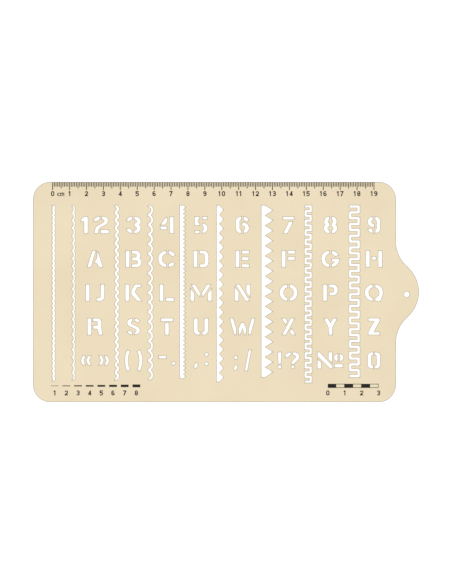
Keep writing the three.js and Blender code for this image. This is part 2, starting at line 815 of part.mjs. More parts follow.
// Columns from left to right: the border line before each, its shares of the sheet's clear space on
// either side of its widest sign, and its signs from the top row to the bottom row
const COLUMNS = [
  {
    line: scallopLine,
    size: LOW_SCALLOP,
    before: 3.19,
    after: 3.04,
    signs: [
      beside(one(), GAP.oneTwo, two()),
      letterA(),
      beside(letterI(), GAP.letterIJ, letterJ()),
      letterR(),
      beside(chevrons(), GAP.chevronPairs, closingChevrons()),
    ],
  },
  {
    line: waveLine,
    size: WAVE,
    before: 3.32,
    after: 3.38,
    signs: [three(), letterB(), letterK(), letterS(), bracketPair],
  },
  {
    line: scallopLine,
    size: DEEP_SCALLOP,
    before: 3.05,
    after: 2.54,
    signs: [four(), letterC(), letterL(), letterT(), beside(dash(), GAP.dashStop, fullStop())],
  },
  {
    line: toothLine,
    size: FINE_TEETH,
    before: 2.68,
    after: 2.93,
    signs: [five(), letterD(), letterM(), letterU(), beside(comma(), GAP.commaColon, colon())],
  },
  {
    line: toothLine,
    size: TEETH,
    before: 3.71,
    after: 3.78,
    signs: [six(), letterE(), letterN(), letterW(), beside(semicolon(), GAP.semicolonSlash, slash())],
  },
  {
    line: toothLine,
    size: COARSE_TEETH,
    before: 2.78,
    after: 3.02,
    signs: [seven(), letterF(), letterO(), letterX(), questionPair],
  },
  {
    line: meanderLine,
    size: MEANDER,
    before: 3.31,
    after: 3.25,
    signs: [eight(), letterG(), letterP(), letterY(), numero()],
  },
  {
    line: meanderLine,
    size: WIDE_MEANDER,
    before: 3,
    after: 2.64,
    signs: [nine(), letterH(), letterQ(), letterZ(), zero()],
  },
];

// Places of the border lines and signs, measured from the sheet's lower left corner

const sum = (values) => values.reduce((total, value) => total + value, 0);
const widestOf = (column) => Math.max(...column.signs.map(widthOf));

const rowCount = Math.max(...COLUMNS.map((column) => column.signs.length));
const linesTop = SHEET_HEIGHT - RULE_BAND;
const linesLength = linesTop - FOOT_BAND;
const rowPitch = (linesLength - LINES_ABOVE - LINES_BELOW - CAP) / (rowCount - 1);

const firstColumnX = LEFT_MARGIN + FINE_WAVE.width + FIRST_LINE_GAP;
const filled = sum(COLUMNS.map((column) => column.size.width + widestOf(column)));
const shares = sum(COLUMNS.map((column) => column.before + column.after));
const spacePerShare = (SHEET_LENGTH - RIGHT_MARGIN - firstColumnX - filled) / shares;

const openings = [moved(waveLine(FINE_WAVE, linesLength), LEFT_MARGIN, linesTop)];
let columnX = firstColumnX;
for (const column of COLUMNS) {
  openings.push(moved(column.line(column.size, linesLength), columnX, linesTop));
  columnX += column.size.width + column.before * spacePerShare;
  const widest = widestOf(column);
  column.signs.forEach((sign, row) => {
    const left = columnX + (widest - widthOf(sign)) / 2;
    const baseline = linesTop - LINES_ABOVE - CAP - row * rowPitch;
    openings.push(...sign.map((points) => moved(points, left, baseline)));
  });
  columnX += widest + column.after * spacePerShare;
}

// Solids

// Leaves out points that repeat their neighbour or lie straight between two others
function tidied(points) {
  const apart = points.filter((p, i) => p.distanceTo(points.at(i - 1)) > MERGE_DISTANCE);
  return apart.filter((p, i) => {
    const before = p.clone().sub(apart.at(i - 1)).normalize();
    const after = apart[(i + 1) % apart.length].clone().sub(p).normalize();
    return Math.abs(before.cross(after)) > STRAIGHT;
  });
}

function prism(points, z0, z1) {
  const shape = new THREE.Shape(tidied(points));
  const geometry = new THREE.ExtrudeGeometry(shape, { depth: z1 - z0, bevelEnabled: false });
  geometry.translate(0, 0, z0);
  geometry.deleteAttribute("normal");
  geometry.deleteAttribute("uv");
  const merged = mergeVertices(geometry, MERGE_DISTANCE);
  const vertProperties = merged.attributes.position.array;
  const triVerts = new Uint32Array(merged.index.array);
  return new wasm.Manifold(new wasm.Mesh({ numProp: 3, vertProperties, triVerts }));
}

// One ink film made of outlines that overlap, with the clear outlines left open in it
function film(outlines, clear = []) {
  const solids = outlines.map((points) => prism(points, 0, INK_THICKNESS));
  const inked = solids.reduce((all, next) => all.add(next));
  const cut = (all, points) => all.subtract(prism(points, -INK_THICKNESS, 2 * INK_THICKNESS));
  return clear.reduce(cut, inked);
}

function piece(name, solid, material) {
  const { vertProperties, triVerts } = solid.getMesh();
  const geometry = new THREE.BufferGeometry();
  geometry.setAttribute("position", new THREE.BufferAttribute(vertProperties, 3));
  geometry.setIndex(new THREE.BufferAttribute(triVerts, 1));
  geometry.computeVertexNormals();
  const mesh = new THREE.Mesh(geometry, material());
  mesh.name = name;
  return mesh;
}

function sheetPlastic() {
  return new THREE.MeshStandardMaterial({ color: SHEET_COLOUR, roughness: 0.5, metalness: 0 });
}

function ink() {
  return new THREE.MeshStandardMaterial({ color: INK_COLOUR, roughness: 0.7, metalness: 0 });
}

// Sheet with its tab, and every opening cut through it

function sheetOutline() {
  const corner = CORNER_RADIUS;
  const right = Math.PI / 2;
  const middle = SHEET_HEIGHT / 2;
  const noseX = SHEET_LENGTH + TAB_REACH - TAB_NOSE_RADIUS;
  const filletX = SHEET_LENGTH + TAB_FILLET_RADIUS;
  const reach = TAB_NOSE_RADIUS + TAB_FILLET_RADIUS;
  const spread = Math.acos((filletX - noseX) / reach);
  const offset = reach * Math.sin(spread);
  const fillet = (y, from, to) => arc(filletX, y, TAB_FILLET_RADIUS, TAB_FILLET_RADIUS, from, to);
  const nose = (from, to) => arc(noseX, middle, TAB_NOSE_RADIUS, TAB_NOSE_RADIUS, from, to);
  return [
    ...arc(corner, corner, corner, corner, 2 * right, 3 * right),
    ...arc(SHEET_LENGTH - corner, corner, corner, corner, -right, 0),
    ...fillet(middle - offset, Math.PI, Math.PI - spread),
    ...nose(-spread, 0),
    ...nose(0, spread),
    ...fillet(middle + offset, spread - Math.PI, -Math.PI),
    ...arc(SHEET_LENGTH - corner, SHEET_HEIGHT - corner, corner, corner, 0, right),
    ...arc(corner, SHEET_HEIGHT - corner, corner, corner, right, 2 * right),
  ];
}

function stencilPlate() {
  const holeX = SHEET_LENGTH + TAB_REACH - HOLE_FROM_NOSE;
  const hangingHole = disc(holeX, SHEET_HEIGHT / 2 - HOLE_DROP, HOLE_DIAMETER);
  const cut = (solid, points) => solid.subtract(prism(points, -SHEET_THICKNESS, 2 * SHEET_THICKNESS));
  const plate = [...openings, hangingHole].reduce(cut, prism(sheetOutline(), 0, SHEET_THICKNESS));
  return piece("stencil_plate", plate, sheetPlastic);
}

// Printed rule: a comb of ticks along the top edge

const centimetre = TICKS_PER_CENTIMETRE * TICK_PITCH;
const ruleLength = Math.floor((SHEET_LENGTH - CORNER_RADIUS - RULE_START) / centimetre) * centimetre;
const printTop = SHEET_HEIGHT - EDGE_INSET;

function tickLength(index) {
  if (index % TICKS_PER_CENTIMETRE === 0) return WHOLE_TICK_LENGTH;
  return index % (TICKS_PER_CENTIMETRE / 2) === 0 ? HALF_TICK_LENGTH : TICK_LENGTH;
}

function ruleTicks() {
  const half = TICK_WIDTH / 2;
  const rootY = printTop - TICK_SPINE;
  const comb = [];
  for (let i = 0; i * TICK_PITCH <= ruleLength; i += 1) {
    const left = RULE_START + i * TICK_PITCH - half;
    const right = left + TICK_WIDTH;
    const tipY = printTop - tickLength(i);
    comb.push(at(left, rootY), at(left, tipY), at(right, tipY), at(right, rootY));
  }
  comb.push(at(comb.at(-1).x, printTop), at(comb[0].x, printTop));
  return piece("rule_ticks", film([comb]), ink);
}

// Numerals: the outlines that overlap to make each figure, and those that stay clear in it

const numeralWidth = (figure) => (figure === "1" ? NUMERAL_ONE_WIDTH : NUMERAL_WIDTH);

function numeral(figure) {
  const w = numeralWidth(figure);
  const h = NUMERAL_HEIGHT;
  const s = NUMERAL_STROKE;
  const radius = w / 2;
  const mid = h / 2;
  const half = (mid + s / 2) / 2;
  const turn = (points) => points.map((p) => at(w - p.x, h - p.y));
  const right = Math.PI / 2;
  const quarters = [0, 1, 2, 3].map((i) => [i * right, (i + 1) * right]);
  const oval = (y, rx, ry) => quarters.flatMap(([from, to]) => arc(radius, y, rx, ry, from, to));
  const crown = (r, from, to) => arc(radius, h - radius, r, r, from, to);
  const dome = (r) => [...crown(r, 0, right), ...crown(r, right, Math.PI)];
  const pill = (r) => [...dome(r), ...turn(dome(r))];
  const stemX = (w - s) * 0.7;
  const flag = [[stemX, h], [0, h * 0.84], [0, h * 0.66], [stemX, h * 0.74]];
  const neck = Math.PI / 5;
  const leg = outline([s * 1.45, s * 0.6], [s * 1.45, 0], [0, 0], [0, s]);
  const swan = [...crown(radius, Math.PI, -neck), ...leg, ...crown(radius - s, -neck, Math.PI)];
  const curlEnd = Math.PI * 0.9;
  const curl = (y, up) => [
    ...arc(radius, y, radius, up * half, curlEnd, -right),
    ...arc(radius, y, radius - s, up * (half - s), -right, curlEnd),
  ];
  const postX = w - 1.5 * s;
  const crossY = h * 0.17;
  const top = block(0, h - s, w, h);
  const belly = mid + s;
  const bowlY = h * 0.31;
  const stalkEnd = Math.PI * 0.15;
  const stalkFoot = [at(0, bowlY), at(s, bowlY)];
  const stalk = [...crown(radius, stalkEnd, Math.PI), ...stalkFoot, ...crown(radius - s, Math.PI, stalkEnd)];
  const sixStrokes = [oval(bowlY, radius, bowlY), stalk];
  const sixClear = [oval(bowlY, radius - s, bowlY - s)];
  const eightStrokes = [oval(half, radius, half), oval(h - half, radius * 0.94, half)];
  const eightClear = [half, h - half].map((y) => oval(y, radius - s, half - s));
  const shapes = {
    0: [[pill(radius)], [pill(radius - s)]],
    1: [[outline([stemX, 0], [stemX + s, 0], [stemX + s, h], ...flag)]],
    2: [[swan, block(0, 0, w, s)]],
    3: [[curl(h - half, 1), curl(half, -1), block(w * 0.3, mid - s / 2, w * 0.6, mid + s / 2)]],
    4: [[block(postX, 0, postX + s, h), block(0, crossY, w, crossY + s), slant(0, postX, crossY, h, s)]],
    5: [[top, block(0, mid - s / 2, s, h), bowl(0, w, 0, belly, radius, belly / 2, s, s)]],
    6: [sixStrokes, sixClear],
    7: [[top, slant(w * 0.13, w - s * 1.15, 0, h, s * 1.15)]],
    8: [eightStrokes, eightClear],
    9: [sixStrokes.map(turn), sixClear.map(turn)],
  };
  return shapes[figure];
}

// A whole number centred on x, one piece for each of its figures
function printedNumber(name, value, x, topY) {
  const figures = [...String(value)];
  const width = sum(figures.map(numeralWidth)) + (figures.length - 1) * NUMERAL_GAP;
  const places = figures.length > 1 ? ["_tens", "_units"] : [""];
  let left = x - width / 2;
  return figures.map((figure, i) => {
    const placed = (outlines) => outlines.map((points) => moved(points, left, topY - NUMERAL_HEIGHT));
    const [strokes, clear = []] = numeral(figure);
    const solid = film(placed(strokes), placed(clear));
    left += numeralWidth(figure) + NUMERAL_GAP;
    return piece(`${name}_${value}${places[i]}`, solid, ink);
  });
}

function ruleNumerals() {
  const numbers = [];
  for (let value = 0; value * centimetre <= ruleLength; value += 1) {
    const x = RULE_START + value * centimetre;
    numbers.push(...printedNumber("rule_numeral", value, x, SHEET_HEIGHT - NUMERAL_DROP));
  }
  return numbers;
}

// The unit of the rule, two small letters beside the zero
function ruleUnit() {
  const s = UNIT_STROKE;
  const h = UNIT_HEIGHT;
  const x = RULE_START + UNIT_FROM_ZERO;
  const y = SHEET_HEIGHT - NUMERAL_DROP - NUMERAL_HEIGHT;
  const openRing = bowl(h * 0.8, 0, 0, h, h * 0.5, h * 0.45, s, s);
  const pitch = s * UNIT_STEM_PITCH;
  const stems = [0, 1, 2].map((i) => block(i * pitch, 0, i * pitch + s, h));
  const arches = [block(0, h - s, 2 * pitch + s, h), ...stems];
  const second = arches.map((points) => moved(points, x + h * 0.8 + UNIT_GAP, y));
  return [
    piece("rule_unit_c", film([moved(openRing, x, y)]), ink),
    piece("rule_unit_m", film(second), ink),
  ];
}

// Line-width key: strokes from fine to broad with their numbers below
function lineWidthKey() {
  const strokes = [];
  const rowY = FOOT_BAND - PRINT_ROW_DROP - PRINT_ROW_HEIGHT / 2;
  for (let i = 0; i < KEY_COUNT; i += 1) {
    const x = KEY_LEFT + i * KEY_PITCH;
    const half = (KEY_THINNEST + i * KEY_STEP) / 2;
    const stroke = block(x, rowY - half, x + KEY_LENGTH, rowY + half);
    strokes.push(piece(`key_stroke_${i + 1}`, film([stroke]), ink));
    const top = rowY - PRINT_ROW_HEIGHT / 2 - PRINT_ROW_GAP;
    strokes.push(...printedNumber("key_numeral", i + 1, x + KEY_LENGTH / 2, top));
  }
  return strokes;
}

// Bar scale: a bar with every other half centimetre left open, and its numbers below
function barScale() {
  const length = SCALE_COUNT * centimetre;
  const left = SHEET_LENGTH - SCALE_RIGHT - length;
  const top = FOOT_BAND - PRINT_ROW_DROP;
  const foot = top - PRINT_ROW_HEIGHT;
  const edge = SCALE_FRAME;
  const windows = [];
  const numbers = [];
  for (let i = 0; i <= SCALE_COUNT; i += 1) {
    const x = left + i * centimetre;
    numbers.push(...printedNumber("scale_numeral", i, x, foot - PRINT_ROW_GAP));
    if (i === SCALE_COUNT) break;
    windows.push(block(x + centimetre / 2, foot + edge, x + centimetre - edge, top - edge));
  }
  const bar = film([block(left, foot, left + length, top)], windows);
  return [piece("scale_bar", bar, ink), ...numbers];
}

const print = new THREE.Group();
print.position.z = SHEET_THICKNESS;
print.add(ruleTicks(), ...ruleNumerals(), ...ruleUnit(), ...lineWidthKey(), ...barScale());

const sheet = new THREE.Group();
sheet.position.set(-(SHEET_LENGTH + TAB_REACH) / 2, -SHEET_HEIGHT / 2, 0);
sheet.add(stencilPlate(), print);

const stencil = new THREE.Group();
stencil.add(sheet);

export default stencil;
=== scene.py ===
"""Dresses a flat drawing stencil: a thin cut sheet of satin plastic and the ink printed on it.

The frame's flat solids give every outline. Each outline is faired into smooth arcs, a rim profile
is carried along it, and the flat faces between the rims are filled. Lengths are in metres.
"""

import json
import logging
import math
from dataclasses import dataclass, field
from enum import IntEnum

import bpy
import numpy as np
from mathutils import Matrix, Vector
from mathutils.geometry import delaunay_2d_cdt


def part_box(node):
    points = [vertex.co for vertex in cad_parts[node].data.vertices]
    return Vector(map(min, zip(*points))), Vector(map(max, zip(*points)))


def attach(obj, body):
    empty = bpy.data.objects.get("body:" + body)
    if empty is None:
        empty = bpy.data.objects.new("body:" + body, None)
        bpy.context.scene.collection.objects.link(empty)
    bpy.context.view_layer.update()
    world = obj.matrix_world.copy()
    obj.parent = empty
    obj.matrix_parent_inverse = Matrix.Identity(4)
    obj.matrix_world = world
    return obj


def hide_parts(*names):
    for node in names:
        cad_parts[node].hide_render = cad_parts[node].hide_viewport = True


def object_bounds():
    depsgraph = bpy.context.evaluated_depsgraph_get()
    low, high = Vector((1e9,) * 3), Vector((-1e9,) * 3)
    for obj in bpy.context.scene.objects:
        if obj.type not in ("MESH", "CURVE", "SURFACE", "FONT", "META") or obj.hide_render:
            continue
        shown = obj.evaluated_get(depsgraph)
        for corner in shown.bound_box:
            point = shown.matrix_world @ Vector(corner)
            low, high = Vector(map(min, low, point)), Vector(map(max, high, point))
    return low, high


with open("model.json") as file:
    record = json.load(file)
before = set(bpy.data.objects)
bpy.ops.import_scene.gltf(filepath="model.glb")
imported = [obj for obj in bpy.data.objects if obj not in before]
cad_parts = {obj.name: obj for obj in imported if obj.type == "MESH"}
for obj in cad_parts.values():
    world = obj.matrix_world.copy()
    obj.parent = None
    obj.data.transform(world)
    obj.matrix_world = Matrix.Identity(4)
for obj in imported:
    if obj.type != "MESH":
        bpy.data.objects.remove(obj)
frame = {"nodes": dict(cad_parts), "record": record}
CAD_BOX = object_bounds()

LOG = logging.getLogger("stencil")
MM = 1e-3
BODY = "root"
WHITE = (1.0, 1.0, 1.0, 1.0)
FULL = (0.0, 1.0)

Colour = tuple[float, float, float]
Place = tuple[float, float, float]
Range = tuple[float, float]


class Point(IntEnum):
    """What an outline does at one of its points."""

    CORNER = 0
    JUNCTION = 1
    BEND = 2


class Fill(IntEnum):
    """How the flat faces are triangulated: inside the outlines and outside their holes."""

    INSIDE_WITHOUT_HOLES = 2


class NodeBoard:
    """One procedural material and the short calls that wire its nodes."""

    def __init__(self, name: str) -> None:
        """Starts an empty material with a Principled shader.

        Args:
            name: the material's name.
        """
        self.material = bpy.data.materials.new(name)
        self.material.use_nodes = True
        self.nodes = self.material.node_tree.nodes
        self.links = self.material.node_tree.links
        self.shader = self.nodes["Principled BSDF"]
        self.place = self.nodes.new("ShaderNodeTexCoord").outputs["Object"]

    def set(self, **values: object) -> None:
        """Sets uniform values on the shader's own sockets, with _ for a space in a socket's name."""
        for name, value in values.items():
            self.shader.inputs[name.replace("_", " ")].default_value = value

    def feed(self, socket: str, source: bpy.types.NodeSocket) -> None:
        """Links an output to one of the shader's sockets."""
        self.links.new(source, self.shader.inputs[socket])

    def stretched(self, scale: Place, turn: float = 0.0) -> bpy.types.NodeSocket:
        """Object coordinates scaled along each axis and turned about the upright axis.

        Args:
            scale: factors along X, Y and Z.
            turn: angle about Z in radians.

        Returns:
            The mapped coordinates.
        """
        node = self.nodes.new("ShaderNodeMapping")
        node.inputs["Scale"].default_value = scale
        node.inputs["Rotation"].default_value = (0.0, 0.0, turn)
        self.links.new(self.place, node.inputs["Vector"])
        return node.outputs["Vector"]

    def noise(
        self,
        size: float,
        detail: float = 3.0,
        place: bpy.types.NodeSocket | None = None,
    ) -> bpy.types.NodeSocket:
        """Fractal noise whose largest grains have the given size.

        Args:
            size: grain size in the units of the coordinates.
            detail: number of finer octaves.
            place: coordinates to read, Object coordinates if left out.

        Returns:
            The noise from 0 to 1.
        """
        node = self.nodes.new("ShaderNodeTexNoise")
        node.inputs["Scale"].default_value = 1.0 / size
        node.inputs["Detail"].default_value = detail
        self.links.new(place or self.place, node.inputs["Vector"])
        return node.outputs["Fac"]

    def spread(
        self,
        source: bpy.types.NodeSocket,
        start: Range,
        end: Range,
    ) -> bpy.types.NodeSocket:
        """Maps one range onto another and clamps it.

        Args:
            source: the value to map.
            start: the range that is read.
            end: the range that is given.

        Returns:
            The mapped value.
        """
        node = self.nodes.new("ShaderNodeMapRange")
        limits = ("From Min", "From Max", "To Min", "To Max")
        for name, value in zip(limits, (*start, *end), strict=True):
            node.inputs[name].default_value = value
        self.links.new(source, node.inputs["Value"])
        return node.outputs["Result"]

    def attribute(self, name: str) -> bpy.types.NodeSocket:
        """Reads a float attribute of the mesh.

        Args:
            name: the attribute's name.

        Returns:
            The attribute's value.
        """
        node = self.nodes.new("ShaderNodeAttribute")
        node.attribute_name = name
        return node.outputs["Fac"]

    def blend(
        self,
        share: bpy.types.NodeSocket,
        first: Colour | bpy.types.NodeSocket,
        second: Colour | bpy.types.NodeSocket,
    ) -> bpy.types.NodeSocket:
        """Mixes two colours by a share from 0 to 1.

        Args:
            share: 0 gives the first colour and 1 the second.
            first: a colour or an output.
            second: a colour or an output.

        Returns:
            The mixed colour.
        """
        node = self.nodes.new("ShaderNodeMix")
        node.data_type = "RGBA"
        self.links.new(share, node.inputs["Factor"])
        colours = [s for s in node.inputs if s.type == "RGBA"]
        for socket, value in zip(colours, (first, second), strict=True):
            if isinstance(value, bpy.types.NodeSocket):
                self.links.new(value, socket)
            else:
                socket.default_value = (*value, 1.0)
        return next(s for s in node.outputs if s.type == "RGBA")

    def bump(self, height: bpy.types.NodeSocket, strength: float, depth: float) -> None:
        """Feeds a bump to the shader's normal.

        Args:
            height: the height from 0 to 1.
            strength: share of the bump that shows.
            depth: height of a full step.
        """
        node = self.nodes.new("ShaderNodeBump")
        node.inputs["Strength"].default_value = strength
        node.inputs["Distance"].default_value = depth
        self.links.new(height, node.inputs["Height"])
        self.feed("Normal", node.outputs["Normal"])


@dataclass(frozen=True)
class SheetPlastic:
    """Satin beige sheet with a fine grain, faint scuffs and darker cut edges, partly painted edge
    shade.
    """

    colour: Colour = (0.795, 0.682, 0.485)
    shade: Colour = (0.765, 0.652, 0.455)
    # The cut edge's colour: partly a darker cut, partly painted shade along every edge.
    edge: Colour = (0.13, 0.125, 0.105)
    ior: float = 1.49
    specular: float = 0.35
    cloud_size: float = 38 * MM
    cloud_detail: float = 4.0
    cloud_range: Range = (0.35, 0.65)
    grain_size: float = 0.35 * MM
    grain_detail: float = 2.0
    grain_depth: float = 0.02 * MM
    grain_strength: float = 0.25
    scuff_size: float = 1.6 * MM
    scuff_detail: float = 2.0
    scuff_range: Range = (0.3, 0.7)
    scuff_stretch: float = 0.03
    scuff_turn: float = math.radians(17)
    roughness: Range = (0.40, 0.52)

    def material(self) -> bpy.types.Material:
        """Colour drifts with a broad noise and darkens on the cut edge, partly as painted edge shade;
        scuffs vary the roughness.

        Returns:
            The finished material.
        """
        board = NodeBoard("sheet_plastic")
        board.set(IOR=self.ior, Specular_IOR_Level=self.specular)
        cloud = board.noise(self.cloud_size, self.cloud_detail)
        drift = board.spread(cloud, self.cloud_range, FULL)
        face = board.blend(drift, self.colour, self.shade)
        # Darkening on the cut edge, partly real cut colour and partly painted edge shade.
        cut = board.attribute(FlatPiece.CUT_AND_SHADE_ATTRIBUTE)
        board.feed("Base Color", board.blend(cut, face, self.edge))
        lines = board.stretched((self.scuff_stretch, 1.0, 1.0), self.scuff_turn)
        scuffs = board.noise(self.scuff_size, self.scuff_detail, lines)
        board.feed("Roughness", board.spread(scuffs, self.scuff_range, self.roughness))
        grain = board.noise(self.grain_size, self.grain_detail)
        board.bump(grain, self.grain_strength, self.grain_depth)
        return board.material


@dataclass(frozen=True)
class PrintInk:
    """Matt black screen print with a slightly uneven coat."""

    colour: Colour = (0.012, 0.011, 0.008)
    worn: Colour = (0.026, 0.024, 0.018)
    ior: float = 1.45
    specular: float = 0.2
    mottle_size: float = 0.5 * MM
    mottle_detail: float = 4.0
    mottle_range: Range = (0.3, 0.7)
    worn_range: Range = (0.45, 0.75)
    grain_size: float = 0.12 * MM
    grain_detail: float = 2.0
    grain_depth: float = 0.006 * MM
    grain_strength: float = 0.3
    roughness: Range = (0.6, 0.8)

    def material(self) -> bpy.types.Material:
        """Colour and roughness follow one mottled noise, with a finer grain as bump.

        Returns:
            The finished material.
        """
        board = NodeBoard("printed_ink")
        board.set(IOR=self.ior, Specular_IOR_Level=self.specular)
        mottle = board.noise(self.mottle_size, self.mottle_detail)
        thin = board.spread(mottle, self.worn_range, FULL)
        board.feed("Base Color", board.blend(thin, self.colour, self.worn))
        board.feed("Roughness", board.spread(mottle, self.mottle_range, self.roughness))
        grain = board.noise(self.grain_size, self.grain_detail)
        board.bump(grain, self.grain_strength, self.grain_depth)
        return board.material


@dataclass(frozen=True)
class StudioPaper:
    """White paper sweep that glows a little, so that it stays white inside the cut-outs."""

    colour: Colour = (0.95, 0.95, 0.95)
    fleck: Colour = (0.93, 0.93, 0.93)
    fleck_size: float = 2 * MM
    fleck_detail: float = 5.0
    roughness: float = 0.9
    specular: float = 0.1
    glow: float = 0.25

    def material(self) -> bpy.types.Material:
        """A faint fleck in the colour, and an even glow.

        Returns:
            The finished material.
        """
        board = NodeBoard("studio_paper")
        board.set(Roughness=self.roughness, Specular_IOR_Level=self.specular)
        board.set(Emission_Color=WHITE, Emission_Strength=self.glow)
        fleck = board.noise(self.fleck_size, self.fleck_detail)
        board.feed("Base Color", board.blend(fleck, self.colour, self.fleck))
        return board.material


def spaced(count: np.ndarray) -> tuple[np.ndarray, np.ndarray]:
    """Splits every run of an outline into equal steps.

    Args:
        count: number of steps of each run.

    Returns:
        For each step's start: the index of its run, and the share of the run that lies before it.
    """
    run = np.repeat(np.arange(len(count)), count)
    first = np.cumsum(count) - count
    return run, (np.arange(len(run)) - first[run]) / count[run]


@dataclass(frozen=True)
class Fairing:
    """Turns a solid's faceted outline back into the arcs and straight runs that it stands for."""

    sharpest_bend: float = math.radians(55)
    largest_sag: float = 0.065 * MM
    straight_ratio: float = 1.6
    shortest_run: float = 0.12 * MM
    step: float = math.radians(8)
    step_slack: float = 0.01

    def turns(self, points: np.ndarray) -> np.ndarray:
        """Works out how far the outline turns: the angle from each run to the next.

        Args:
            points: the outline's points in order.

        Returns:
            The signed turn at each point, positive to the left.
        """
        ahead = np.roll(points, -1, axis=0) - points
        behind = np.roll(ahead, 1, axis=0)
        cross = behind[:, 0] * ahead[:, 1] - behind[:, 1] * ahead[:, 0]
        return np.arctan2(cross, np.sum(behind * ahead, axis=1))

    def cleaned(self, points: np.ndarray) -> np.ndarray:
        """Leaves out the flatter end of every run that is too short to mean anything.

        Args:
            points: the outline's points in order.

        Returns:
            The points that stay.
        """
        turn = np.abs(self.turns(points))
        short = np.linalg.norm(np.roll(points, -1, axis=0) - points, axis=1) < self.shortest_run
        first_goes = turn < np.roll(turn, -1)
        gone = (short & first_goes) | np.roll(short & ~first_goes, 1)
        return points[~gone]

    def kinds(self, turn: np.ndarray, before: np.ndarray, after: np.ndarray) -> np.ndarray:
        """Sorts the points by their turn and by the lengths of the runs that meet there.

        A point is smooth if it turns by less than the sharpest bend, and if an arc over its shorter
        run would leave that run by less than the largest sag, which is length times turn over eight.
        A smooth point where one run is much longer joins a straight run to an arc.

        Args:
            turn: signed turn at each point.
            before: length of the run that ends there.
            after: length of the run that starts there.

        Returns:
            A Point value for each point.
        """
        shorter = np.minimum(before, after)
        turn = np.abs(turn)
        smooth = (turn < self.sharpest_bend) & (shorter * turn / 8 < self.largest_sag)
        uneven = np.maximum(before, after) > self.straight_ratio * shorter
        return np.where(smooth, np.where(uneven, Point.JUNCTION, Point.BEND), Point.CORNER)

    def tangents(self, points: np.ndarray) -> tuple[np.ndarray, np.ndarray]:
        """Unit tangents at the start and the end of every run.

        At a bend the tangent is that of the circle through the point and its neighbours: each run's
        direction weighted by the other's length. At a junction it follows the longer run. At a corner
        it mirrors the run's other tangent about the chord, so the run is an arc, or straight between
        two corners.

        Args:
            points: the outline's points in order.

        Returns:
            Start tangents and end tangents of the runs.
        """
        run = np.roll(points, -1, axis=0) - points
        after = np.linalg.norm(run, axis=1)
        ahead = run / after[:, None]
        before = np.roll(after, 1)
        behind = np.roll(ahead, 1, axis=0)
        kind = self.kinds(self.turns(points), before, after)
        circle = behind * after[:, None] + ahead * before[:, None]
        circle /= np.linalg.norm(circle, axis=1, keepdims=True)
        longer = np.where((after > before)[:, None], ahead, behind)
        own = np.where((kind == Point.JUNCTION)[:, None], longer, circle)
        smooth = (kind != Point.CORNER)[:, None]
        start, end = own, np.roll(own, -1, axis=0)
        start_smooth, end_smooth = smooth, np.roll(smooth, -1, axis=0)
        mirror = 2 * np.sum(own * ahead, axis=1, keepdims=True) * ahead - own
        mirror_end = 2 * np.sum(end * ahead, axis=1, keepdims=True) * ahead - end
        from_end = np.where(end_smooth, mirror_end, ahead)
        from_start = np.where(start_smooth, mirror, ahead)
        return np.where(start_smooth, start, from_end), np.where(end_smooth, end, from_start)

    def faired(self, points: np.ndarray) -> np.ndarray:
        """Points along smooth runs through the given points.

        Every run is a cubic Hermite curve whose tangents have the length of its chord over the squared
        cosine of a quarter of its turn, which is the cubic closest to a circular arc.

        Args:
            points: the outline's points in order.

        Returns:
            The finer outline, with the points that mean something among its own.
        """
        points = self.cleaned(points)
        start, end = self.tangents(points)
        target = np.roll(points, -1, axis=0)
        chord = np.linalg.norm(target - points, axis=1)
        turn = np.arccos(np.clip(np.sum(start * end, axis=1), -1, 1))
        reach = (chord / np.cos(turn / 4) ** 2)[:, None]
        steps = np.maximum(1, np.ceil(turn / self.step - self.step_slack)).astype(int)
        run, share = spaced(steps)
        t = share[:, None]
        leave = (start * reach)[run]
        arrive = (end * reach)[run]
        return (
            (2 * t**3 - 3 * t**2 + 1) * points[run]
            + (t**3 - 2 * t**2 + t) * leave
            + (3 * t**2 - 2 * t**3) * target[run]
            + (t**3 - t**2) * arrive
        )


